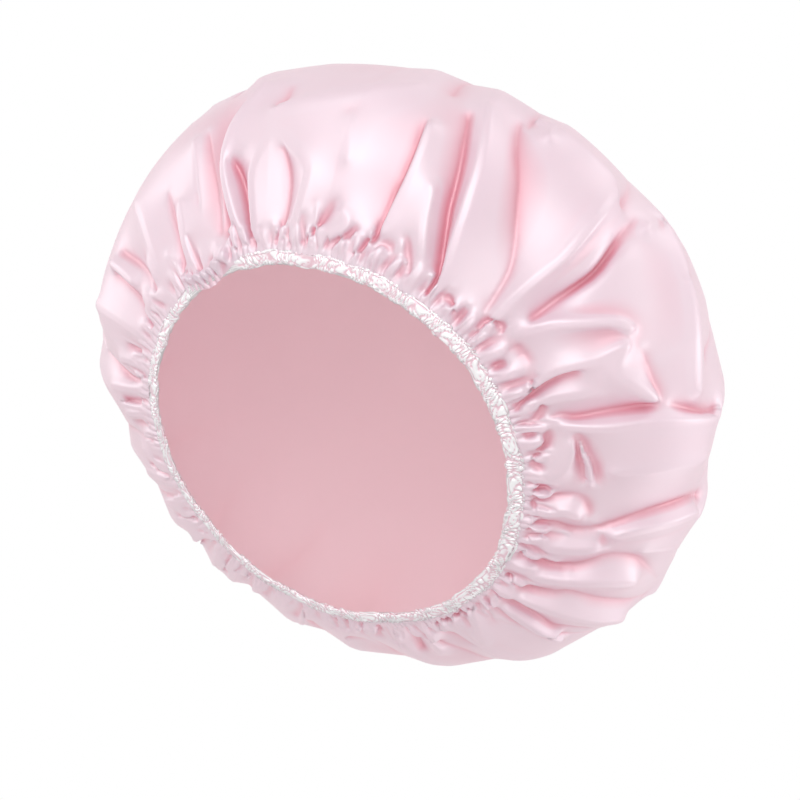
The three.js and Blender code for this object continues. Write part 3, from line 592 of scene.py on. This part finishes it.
def broad_shape(reach, azimuth):
    """How far the cap swells beyond the turned form where its outline in the photograph does."""
    places, sizes = zip(*BROAD_SHAPE)
    share = np.interp(np.degrees(azimuth) % 360, places, sizes, period=360) * MM
    rise = smooth(HEM_TUCK, HEM_TUCK + SWELL_START, reach)
    fall = 1 - smooth(WIDEST_REACH + SWELL_END, CLOTH_LENGTH - SWELL_CROWN, reach)
    return share * (rise * fall)


def waves(azimuth, table):
    """Sum of cosines: count round the cap, size and turn of each."""
    total = np.zeros_like(azimuth)
    for count, size, turn in table:
        total = total + size * np.cos(count * azimuth + turn)
    return total


# Meshes
STEP_GROWTH = 60 * MM
FEWEST_COLUMNS = 24


def mesh_object(name, points, faces):
    mesh = bpy.data.meshes.new(name)
    mesh.from_pydata(points.tolist(), [], faces)
    mesh.update()
    mesh.polygons.foreach_set("use_smooth", np.ones(len(mesh.polygons), bool))
    thing = bpy.data.objects.new(name, mesh)
    bpy.context.scene.collection.objects.link(thing)
    return thing


def add_value(thing, name, values):
    """A number on each point of a mesh, for its material."""
    layer = thing.data.attributes.new(name, "FLOAT", "POINT")
    layer.data.foreach_set("value", np.asarray(values, np.float32))


def polar_grid(columns, first_step, last_step, least):
    """Rings from the hem to the crown, in growing steps; too narrow columns are halved in number."""
    reaches = [0.0]
    while reaches[-1] < CLOTH_LENGTH - 1.2 * last_step:
        share = min(reaches[-1] / STEP_GROWTH, 1)
        reaches.append(reaches[-1] + first_step + (last_step - first_step) * share)
    reaches = np.array(reaches) * ((CLOTH_LENGTH - last_step) / reaches[-1])
    counts = []
    count = columns
    for reach in reaches:
        around = TURN * np.interp(reach, REACH, RADII)
        while around / count < least and reach > WIDEST_REACH and count > FEWEST_COLUMNS:
            count //= 2
        counts.append(count)
    starts = np.cumsum([0] + counts).tolist()
    faces = []
    for low, high, n, m in zip(starts, starts[1:], counts, counts[1:]):
        if n == m:
            for i in range(n):
                k = (i + 1) % n
                faces.append((low + i, low + k, high + k, high + i))
        else:
            for i in range(m):
                a, b, c = low + 2 * i, low + 2 * i + 1, low + (2 * i + 2) % n
                d, e = high + i, high + (i + 1) % m
                faces += [(a, b, d), (b, e, d), (b, c, e)]
    last, crown, n = starts[-2], starts[-1], counts[-1]
    faces += [(last + i, last + (i + 1) % n, crown) for i in range(n)]
    reach = np.append(np.repeat(reaches, counts), CLOTH_LENGTH)
    azimuth = np.concatenate([np.arange(count) * TURN / count for count in counts] + [[0.0]])
    return reach, azimuth, faces


def flat_cloth_map(thing, reach, azimuth, length):
    """Where each point lay on the flat cloth, in metres, for the weave."""
    flat = length * (1 - reach / CLOTH_LENGTH)
    spots = np.stack([flat * np.cos(azimuth), flat * np.sin(azimuth)], 1)
    corners = np.empty(len(thing.data.loops), np.int32)
    thing.data.loops.foreach_get("vertex_index", corners)
    layer = thing.data.uv_layers.new(name="flat_cloth")
    layer.data.foreach_set("uv", spots[corners].astype(np.float32).ravel())


# Shell
# Columns, ring steps at the hem and at the crown, narrowest column
SHELL_GRID = (1440, 0.6 * MM, 1.3 * MM, 0.55 * MM)
# Painted shade: the satin's colour turns pinker and darker where it lies deep, and where it lies deeper than
# what is near it, in place of the shade in its folds
SHADE_START = 3 * MM
SHADE_DEPTH = 11 * MM
SHADE_NEAR_DEPTH = 3 * MM
PALEST_SHADE = -0.5
NEAR_STEPS = range(-5, 6, 2)
FINE_COUNT = 176
FINE_MEAN_SIZE = 0.6
FINE_SIZE_LIMITS = (0.1, 1.0)
FINE_SEAM_SHARE = 0.35
FINE_END = 7 * MM
FINE_DRIFT = [(7, 1.3, 1.3), (19, 1.1, 0.1), (37, 0.8, 3.2)]
FINE_SIZES = [(13, 0.3, 1.0), (27, 0.3, 2.6)]
OVERHANG_AZIMUTH = math.radians(193)
OVERHANG_HALF_ANGLE = math.radians(13)
OVERHANG_REACH = 14 * MM
OVERHANG_FULL_REACH = 0.3 * OVERHANG_REACH
OVERHANG_SHIFT = 5 * MM
OVERHANG_DROP = 2 * MM
OVERHANG_LOWEST = 0.5 * MM


def fine_gathers(reach, azimuth):
    """Depth of the finest gathers, close to the hem."""
    out = reach - HEM_TUCK
    phase = FINE_COUNT * azimuth + waves(azimuth, FINE_DRIFT)
    size = np.clip(FINE_MEAN_SIZE + waves(azimuth, FINE_SIZES), *FINE_SIZE_LIMITS) * MM
    fade = (1 - FINE_SEAM_SHARE * smooth(-2 * MM, 1 * MM, out)) * (1 - smooth(1 * MM, FINE_END, out))
    return (1 - np.abs(np.sin(phase / 2))) * size * fade


def hang_over(points, reach, azimuth):
    """Let the lobe at the upper left droop inwards over the rim."""
    share = smooth(0, 1, 1 - np.abs(turn_between(azimuth, OVERHANG_AZIMUTH)) / OVERHANG_HALF_ANGLE)
    share = share * (1 - smooth(OVERHANG_FULL_REACH, OVERHANG_REACH, np.abs(reach - HEM_TUCK)))
    outward = np.stack([np.cos(azimuth), np.sin(azimuth), 0 * azimuth], 1)
    points = points - share[:, None] * OVERHANG_SHIFT * outward
    lowest = np.minimum(points[:, 2], OVERHANG_LOWEST)
    points[:, 2] = np.maximum(points[:, 2] - share * OVERHANG_DROP, lowest)
    return points


def turn_between(azimuth, middle):
    """Signed angle from a middle azimuth."""
    return (azimuth - middle + math.pi) % TURN - math.pi


def build_shell(field):
    reach, azimuth, faces = polar_grid(*SHELL_GRID)
    folds = sample(field, reach, azimuth)
    depth = folds + fine_gathers(reach, azimuth)
    points = hang_over(outline_place(reach, azimuth, depth), reach, azimuth)
    shell = mesh_object("satin_shell", points, faces)
    near = field
    for axis in (0, 1, 0, 1):
        near = sum(np.roll(near, step, axis) for step in NEAR_STEPS) / len(NEAR_STEPS)
    local = folds - sample(near, reach, azimuth)
    sunk = np.maximum(depth - SHADE_START, 0) / SHADE_DEPTH
    # Painted shade for the folds: deep skin, and skin sunk below its neighbours, gets a darker pink
    add_value(shell, "painted_fold_shade", np.clip(sunk + local / SHADE_NEAR_DEPTH, PALEST_SHADE, 1))
    flat_cloth_map(shell, reach, azimuth, CLOTH_LENGTH)
    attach(shell, "root")
    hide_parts("outer_shell")
    shell.data.materials.append(satin_material())


# Lining
LINING_GRID = (480, 1.2 * MM, 3 * MM, 1.8 * MM)
LINING_GAP = 3 * MM
LINING_GAP_START = 4 * MM
LINING_GAP_END = 40 * MM
LINING_LEAST_GAP = 0.5 * MM
LINING_CLEARANCE = 1.2 * MM
LINING_CLEARANCE_END = 8 * MM
LINING_SWEEPS = 60


def lining_field(field):
    """The lining hangs a little inside the shell and is dented by its deeper folds."""
    rows = len(field)
    reach = (np.arange(rows) * CLOTH_LENGTH / (rows - 1))[:, None]
    least = field + LINING_CLEARANCE * smooth(0, LINING_CLEARANCE_END, reach) + LINING_LEAST_GAP
    gap = LINING_GAP * smooth(LINING_GAP_START, LINING_GAP_END, reach)
    depth = np.maximum(least, gap)
    for _ in range(LINING_SWEEPS):
        around = 0.25 * (np.roll(depth, 1, 1) + np.roll(depth, -1, 1))
        around[1:-1] += 0.25 * (depth[2:] + depth[:-2])
        around[0], around[-1] = depth[0], depth[-1]
        depth = np.maximum(least, around)
    return depth


def mean_meridian(points, reach):
    """Mean length of the lines from the seam to the crown."""
    rings = np.unique(reach)
    lengths = []
    for ring_low, ring_high in zip(rings, rings[1:]):
        low, high = points[reach == ring_low], points[reach == ring_high]
        if len(low) > len(high) > 1:
            low = low[::len(low) // len(high)]
        lengths.append(np.linalg.norm(high - low, axis=1).mean())
    return float(np.sum(lengths))


def build_lining(field):
    reach, azimuth, faces = polar_grid(*LINING_GRID)
    depth = sample(lining_field(field), reach, azimuth)
    depth += fine_gathers(reach, azimuth)
    points = outline_place(reach, azimuth, depth)
    length = mean_meridian(points, reach)
    lining = mesh_object("film_lining", points, faces)
    flat_cloth_map(lining, reach, azimuth, length)
    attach(lining, "root")
    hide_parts("inner_lining")
    lining.data.materials.append(film_material())


# Ruched rim
RIM_RADIUS = 83.9 * MM
RIM_HEIGHT = 2.75 * MM
RIM_HALF_WIDTH = 2.5 * MM
RIM_WIDER = 0.9 * MM
RIM_HALF_THICKNESS = 0.95 * MM
RIM_THICKER = 0.4 * MM
RIM_WIDEST_AZIMUTH = math.radians(305)
RIM_ROUNDNESS = 0.8
RIM_LIFT = 1.2 * MM
RIM_NARROWING = 0.1
CRINKLE_HEIGHT = 0.85 * MM
CRINKLE_CELLS = (230, 7)
CRINKLE_SLANT = 2.4
CRINKLE_SEED = 11
CRINKLE_JITTER = 0.45
CRINKLE_SWIRL = (9, 0.9)
CRINKLE_DRIFT = (31, 0.8)
CRINKLE_STRETCH = 0.55
CRINKLE_MEAN = 0.85
CRINKLE_SPREAD = 0.5
CRINKLE_EDGE = 0.4
CRINKLE_MIDDLE = 0.4
RIM_SWAY = [(5, 0.25, 0.4), (11, 0.25, 2.9), (23, 0.2, 1.1)]
RIM_WIDTHS = [(17, 0.15, 0.7), (41, 0.15, 2.0), (67, 0.12, 4.4)]
RIM_COLUMNS = 3000
RIM_ROWS = 32
RIM_LOWEST = 0.02 * MM


def rim_crinkles(azimuth, turn):
    """Height of the crushed little folds, from 0 in the creases to about 1."""
    rng = np.random.default_rng(CRINKLE_SEED)
    across, around = CRINKLE_CELLS
    shift_x, shift_y, tall = rng.uniform(-CRINKLE_JITTER, CRINKLE_JITTER, (3, across, around))
    y = turn / TURN * around
    slant = CRINKLE_SLANT * np.sin(turn + CRINKLE_SWIRL[1] * np.sin(CRINKLE_SWIRL[0] * azimuth))
    x = azimuth / TURN * across + slant + CRINKLE_DRIFT[1] * np.sin(CRINKLE_DRIFT[0] * azimuth)
    first, second, height = np.full_like(x, 9), np.full_like(x, 9), np.zeros_like(x)
    for i in (-1, 0, 1):
        for j in (-1, 0, 1):
            row, column = np.floor(x) + i, np.floor(y) + j
            cell = (row.astype(int) % across, column.astype(int) % around)
            to_x = x - row - 0.5 - shift_x[cell]
            to_y = y - column - 0.5 - shift_y[cell]
            away = np.hypot(to_x, CRINKLE_STRETCH * to_y)
            closer = away < first
            second = np.where(closer, first, np.minimum(second, away))
            height = np.where(closer, CRINKLE_MEAN + CRINKLE_SPREAD * tall[cell], height)
            first = np.where(closer, away, first)
    return height * smooth(0, CRINKLE_EDGE, second - first)


def rim_surface(azimuth, turn):
    """Point on the ruched rim, and how high its crinkle stands there."""
    rib = rim_crinkles(azimuth, turn)
    near = (0.5 + 0.5 * np.cos(azimuth - RIM_WIDEST_AZIMUTH)) ** 1.5
    hidden = smooth(0, 1, 1.3 - np.abs(turn_between(azimuth, OVERHANG_AZIMUTH)) / OVERHANG_HALF_ANGLE)
    half_width = RIM_HALF_WIDTH + RIM_WIDER * near + waves(azimuth, RIM_WIDTHS) * MM
    half_width = half_width * (1 - RIM_NARROWING * hidden)
    along = half_width * np.sign(np.cos(turn)) * np.abs(np.cos(turn)) ** RIM_ROUNDNESS
    half_thickness = RIM_HALF_THICKNESS + RIM_THICKER * near
    thick = half_thickness * np.sign(np.sin(turn)) * np.abs(np.sin(turn)) ** RIM_ROUNDNESS
    raised = (rib - CRINKLE_MIDDLE) * CRINKLE_HEIGHT
    along = along + raised * np.cos(turn)
    thick = thick + raised * (0.7 + 0.3 * near) * np.sin(turn)
    c, s = math.cos(HEM_TILT), math.sin(HEM_TILT)
    radius = RIM_RADIUS + along * c + thick * s + waves(azimuth, RIM_SWAY) * MM
    height = RIM_HEIGHT + along * s - thick * c + hidden * RIM_LIFT
    return np.stack([radius * np.cos(azimuth), radius * np.sin(azimuth), height], -1), rib


def ring_faces(columns, rows):
    faces = []
    for i in range(columns):
        k = (i + 1) % columns
        for j in range(rows):
            m = (j + 1) % rows
            faces.append((i * rows + j, k * rows + j, k * rows + m, i * rows + m))
    return faces


def build_rim():
    azimuth = np.repeat(np.arange(RIM_COLUMNS) * TURN / RIM_COLUMNS, RIM_ROWS)
    turn = np.tile(np.arange(RIM_ROWS) * TURN / RIM_ROWS, RIM_COLUMNS)
    points, rib = rim_surface(azimuth, turn)
    points[:, 2] = np.maximum(points[:, 2], RIM_LOWEST)
    rim = mesh_object("ruched_rim", points, ring_faces(RIM_COLUMNS, RIM_ROWS))
    # The crinkle height also drives painted shade: darker pink down in the rim's creases
    add_value(rim, "rib_height", rib)
    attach(rim, "root")
    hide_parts("hem_casing")
    rim.data.materials.append(rim_material())


# Hem stitches
STITCH_COUNT = 180
STITCH_RADIUS = 0.17 * MM
STITCH_COLUMNS = 2160
STITCH_ROWS = 6
STITCH_LIFT = 0.1 * MM
STITCH_DIP = 0.45 * MM
STITCH_DIP_POWER = 8
SEAM_TURN = math.radians(50)
YARN_COLOUR = (0.90, 0.76, 0.81, 1)
TACK_COLOUR = (0.82, 0.60, 0.66, 1)


def build_stitches(name, node, turn):
    """One lockstitch line round the hem, dipping into the cloth between stitches."""
    azimuth = np.arange(STITCH_COLUMNS) * TURN / STITCH_COLUMNS
    spine, _ = rim_surface(azimuth, np.full_like(azimuth, turn))
    middle, _ = rim_surface(azimuth, np.full_like(azimuth, turn + math.pi))
    outward = unit(spine - middle)
    lift = STITCH_LIFT - STITCH_DIP * np.abs(np.cos(STITCH_COUNT * azimuth / 2)) ** STITCH_DIP_POWER
    spine = spine + outward * lift[:, None]
    ahead = unit(np.roll(spine, -1, 0) - np.roll(spine, 1, 0))
    side = unit(np.cross(ahead, outward))
    out = np.cross(side, ahead)
    round_turn = (np.arange(STITCH_ROWS) * TURN / STITCH_ROWS)[:, None]
    ring = np.cos(round_turn) * side[:, None] + np.sin(round_turn) * out[:, None]
    points = (spine[:, None] + ring * STITCH_RADIUS).reshape(-1, 3)
    thread = mesh_object(name, points, ring_faces(STITCH_COLUMNS, STITCH_ROWS))
    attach(thread, "root")
    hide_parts(node)
    thread.data.materials.append(thread_material(name + "_yarn", YARN_COLOUR))


# Materials
SATIN_COAT = {"Metallic": 0.35, "Coat Weight": 1.0, "Coat Roughness": 0.38, "Coat IOR": 2.2}
# The satin's own pale lilac at 0, then painted fold shade in darker pinks towards 0.8
SATIN_COLOUR_AND_FOLD_SHADE = [(0.0, (0.92, 0.87, 0.94, 1)), (0.3, (0.88, 0.61, 0.69, 1)), (0.8, (0.79, 0.31, 0.39, 1))]
SATIN_DRIFT = [(0.3, (0.95, 0.93, 0.95, 1)), (0.7, (1, 1, 1, 1))]
SATIN_BACK = (0.97, 0.66, 0.74, 1)
FILM_TINTS = [(0.3, (0.95, 0.90, 0.89, 1)), (0.7, (0.97, 0.92, 0.91, 1))]
FILM_BACK = (0.97, 0.87, 0.86, 1)
# Near-white rim colour on the crinkles, with painted shade in darker pink down in the creases
RIM_COLOUR_AND_CREASE_SHADE = [(0.05, (0.80, 0.50, 0.58, 1)), (0.3, (0.95, 0.82, 0.87, 1)), (0.6, (0.99, 0.97, 0.98, 1))]
ELASTIC_TINTS = [(0.2, (0.74, 0.70, 0.71, 1)), (0.8, (0.90, 0.87, 0.87, 1))]


def new_material(name):
    material = bpy.data.materials.new(name)
    material.use_nodes = True
    return material, material.node_tree, material.node_tree.nodes["Principled BSDF"]


def set_inputs(tree, node, inputs):
    """Give a node's inputs their values, or wire them to other nodes' sockets."""
    for name, value in inputs.items():
        if isinstance(value, bpy.types.NodeSocket):
            tree.links.new(value, node.inputs[name])
        else:
            node.inputs[name].default_value = value


def add_node(tree, kind, inputs, **settings):
    node = tree.nodes.new("ShaderNode" + kind)
    for name, value in settings.items():
        setattr(node, name, value)
    set_inputs(tree, node, inputs)
    return node


def ramp(tree, source, stops):
    """Colours along a value."""
    node = add_node(tree, "ValToRGB", {"Fac": source})
    marks = node.color_ramp.elements
    marks[0].position, marks[0].color = stops[0]
    marks[1].position, marks[1].color = stops[-1]
    for place, colour in stops[1:-1]:
        marks.new(place).color = colour
    return node.outputs["Color"]


def noise(tree, place, scale, detail, rough):
    inputs = {"Vector": place, "Scale": scale, "Detail": detail, "Roughness": rough}
    return add_node(tree, "TexNoise", inputs).outputs["Fac"]


def bump(tree, height, strength, distance):
    inputs = {"Height": height, "Strength": strength, "Distance": distance}
    return add_node(tree, "Bump", inputs)


def let_light_through(tree, shader, colour, share):
    """Thin cloth passes some of the light that falls on its other face."""
    through = add_node(tree, "BsdfTranslucent", {"Color": colour})
    mix_shaders(tree, share, shader, through)


def mix_shaders(tree, share, first, second):
    mix = add_node(tree, "MixShader", {"Fac": share, 1: first.outputs["BSDF"], 2: second.outputs["BSDF"]})
    set_inputs(tree, tree.nodes["Material Output"], {"Surface": mix.outputs["Shader"]})


def cloth_bumps(tree, shader, broad, fine):
    """Fine bumps over broad ones; each has its height, strength and size."""
    below = bump(tree, *broad)
    above = bump(tree, *fine)
    set_inputs(tree, above, {"Normal": below.outputs["Normal"]})
    set_inputs(tree, shader, {"Normal": above.outputs["Normal"]})


def satin_material():
    """Long floats of a satin weave on the flat cloth's own map, with painted shade that turns it pinker and
    darker where the folds lie deep.
    """
    material, tree, shader = new_material("satin")
    place = add_node(tree, "UVMap", {}, uv_map="flat_cloth").outputs["UV"]
    weave = add_node(tree, "TexWave", {"Vector": place, "Scale": 620, "Distortion": 0.6, "Detail": 1.0},
                     wave_type="BANDS", bands_direction="DIAGONAL")
    depth = add_node(tree, "Attribute", {}, attribute_name="painted_fold_shade")
    # Painted fold shade: the ramp darkens the satin where the folds lie deep
    fold = ramp(tree, depth.outputs["Fac"], SATIN_COLOUR_AND_FOLD_SHADE)
    drift = noise(tree, place, 14, 2, 0.5)
    colour = add_node(tree, "Mix", {"Factor": 1.0, 6: fold, 7: ramp(tree, drift, SATIN_DRIFT)},
                      data_type="RGBA", blend_type="MULTIPLY")
    gloss = add_node(tree, "MapRange", {"Value": drift, "To Min": 0.52, "To Max": 0.60})
    set_inputs(tree, shader, {
        "Base Color": colour.outputs[2], "Roughness": gloss.outputs["Result"],
        "Specular IOR Level": 0.5, **SATIN_COAT,
        "Sheen Weight": 0.15, "Sheen Roughness": 0.5, "Sheen Tint": (1.0, 0.93, 0.98, 1)})
    crease = noise(tree, place, 55, 3, 0.55)
    cloth_bumps(tree, shader, (crease, 0.15, 0.8 * MM), (weave.outputs["Fac"], 0.12, 0.05 * MM))
    let_light_through(tree, shader, SATIN_BACK, 0.32)
    return material


def film_material():
    material, tree, shader = new_material("film")
    place = add_node(tree, "UVMap", {}, uv_map="flat_cloth").outputs["UV"]
    tone = ramp(tree, noise(tree, place, 9, 2, 0.5), FILM_TINTS)
    set_inputs(tree, shader, {"Base Color": tone, "Roughness": 0.62, "Specular IOR Level": 0.35})
    grain = noise(tree, place, 900, 2, 0.5)
    soft = noise(tree, place, 22, 2, 0.5)
    cloth_bumps(tree, shader, (soft, 0.25, 0.8 * MM), (grain, 0.15, 0.05 * MM))
    let_light_through(tree, shader, FILM_BACK, 0.62)
    return material


def rim_material():
    """The same satin, crushed and near white, with painted shade that turns it darker pink in its creases.
    """
    material, tree, shader = new_material("ruched_satin")
    depth = add_node(tree, "Attribute", {}, attribute_name="rib_height")
    place = add_node(tree, "TexCoord", {}).outputs["Object"]
    crinkle = bump(tree, noise(tree, place, 900, 3, 0.6), 0.4, 0.25 * MM)
    set_inputs(tree, shader, {
        "Base Color": ramp(tree, depth.outputs["Fac"], RIM_COLOUR_AND_CREASE_SHADE), "Roughness": 0.4, **SATIN_COAT,
        "Sheen Weight": 0.4, "Sheen Tint": (1.0, 0.95, 0.98, 1), "Normal": crinkle.outputs["Normal"]})
    return material


def banded_material(name, wave, tints, rough, strength, distance):
    """Colour and bump that follow one wave texture."""
    material, tree, shader = new_material(name)
    place = add_node(tree, "TexCoord", {}).outputs["Object"]
    inputs, settings = wave
    bands = add_node(tree, "TexWave", {"Vector": place, **inputs}, **settings).outputs["Fac"]
    raised = bump(tree, bands, strength, distance)
    set_inputs(tree, shader, {"Base Color": ramp(tree, bands, tints), "Roughness": rough,
                              "Normal": raised.outputs["Normal"]})
    return material


def thread_material(name, colour):
    """Spun yarn: fine twist across the strand."""
    dark = tuple(0.8 * c for c in colour[:3]) + (1,)
    twist = ({"Scale": 1400, "Distortion": 1.5}, {})
    return banded_material(name, twist, [(0.2, dark), (0.8, colour)], 0.55, 0.4, 0.05 * MM)


def elastic_material():
    """Knitted flat elastic: ribs along the strip."""
    knit = ({"Scale": 420, "Distortion": 0.8}, {"wave_type": "RINGS", "rings_direction": "Z"})
    return banded_material("knitted_elastic", knit, ELASTIC_TINTS, 0.75, 0.5, 0.1 * MM)


def dress_node(node, material):
    """Give a solid that stays in the scene its finished material."""
    for thing in bpy.data.objects:
        if thing.type == "MESH" and thing.name == node:
            for slot in thing.material_slots:
                slot.material = material


# Light and floor
LIGHT_AIM = np.array([0, 0, 60 * MM])
WORLD_LEVEL = 0.54
FLOOR_HALF_WIDTH = 3.0
# Studio lights as the camera sees them: to the right, up and back from the cap in metres,
# width in metres, power in watts
STUDIO_LIGHTS = [
    ("front_light", -0.1, 0.35, 1.25, 0.9, 5),
    ("upper_light", -0.4, 0.8, 0.9, 0.8, 2.5),
    ("side_light", 1.3, -0.1, 0, 0.7, 3.4),
    ("corner_light", 0.92, 0.92, -0.1, 0.7, 1.5),
    ("low_light", 0.89, -0.89, -0.34, 0.6, 1.4),
    ("left_light", -1.15, 0.35, -0.4, 0.8, 2.8),
]


def build_lights():
    for name, across, up, back, size, power in STUDIO_LIGHTS:
        place = Vector(LIGHT_AIM + across * VIEW_RIGHT + up * VIEW_UP - back * VIEW_AHEAD)
        data = bpy.data.lights.new(name, "AREA")
        data.shape = "SQUARE"
        data.size = size
        data.energy = power
        lamp = bpy.data.objects.new(name, data)
        toward = (Vector(LIGHT_AIM) - place).normalized()
        lamp.matrix_world = Matrix.Translation(place) @ toward.to_track_quat("-Z", "Y").to_matrix().to_4x4()
        bpy.context.scene.collection.objects.link(lamp)


def build_world():
    """White where it is looked at, a plain soft level where it lights the cap."""
    world = bpy.data.worlds.new("world")
    bpy.context.scene.world = world
    world.use_nodes = True
    tree = world.node_tree
    tree.nodes.clear()
    path = add_node(tree, "LightPath", {})
    seen = path.outputs["Is Camera Ray"]
    for other in ("Is Glossy Ray", "Is Transmission Ray"):
        either = add_node(tree, "Math", {0: seen, 1: path.outputs[other]}, operation="MAXIMUM")
        seen = either.outputs[0]
    level = add_node(tree, "MapRange", {"Value": seen, "To Min": WORLD_LEVEL, "To Max": 1.0})
    inputs = {"Color": (1, 1, 1, 1), "Strength": level.outputs["Result"]}
    background = add_node(tree, "Background", inputs)
    add_node(tree, "OutputWorld", {"Surface": background.outputs["Background"]})


def build_floor():
    """Pale floor, seen only from above, so that the view from below stays clear."""
    half = FLOOR_HALF_WIDTH
    corners = np.array([(-half, -half, 0), (half, -half, 0), (half, half, 0), (-half, half, 0)])
    floor = mesh_object("floor", corners, [(0, 1, 2, 3)])
    material, tree, shader = new_material("floor")
    set_inputs(tree, shader, {"Base Color": (0.86, 0.86, 0.86, 1), "Roughness": 0.9})
    face = add_node(tree, "NewGeometry", {})
    mix_shaders(tree, face.outputs["Backfacing"], shader, add_node(tree, "BsdfTransparent", {}))
    floor.data.materials.append(material)
    for ray in ("diffuse", "glossy", "transmission", "shadow"):
        setattr(floor, "visible_" + ray, False)


bpy.context.scene.view_settings.view_transform = "Standard"
build_camera()
build_world()
build_floor()
build_lights()
shell_folds = fold_field()
build_shell(shell_folds)
build_lining(shell_folds)
build_rim()
build_stitches("hem_stitches_outer", "hem_seam_thread_outer", SEAM_TURN)
build_stitches("hem_stitches_inner", "hem_seam_thread_inner", -SEAM_TURN)
dress_node("elastic_band", elastic_material())
dress_node("elastic_tack_thread", thread_material("tack_yarn", TACK_COLOUR))
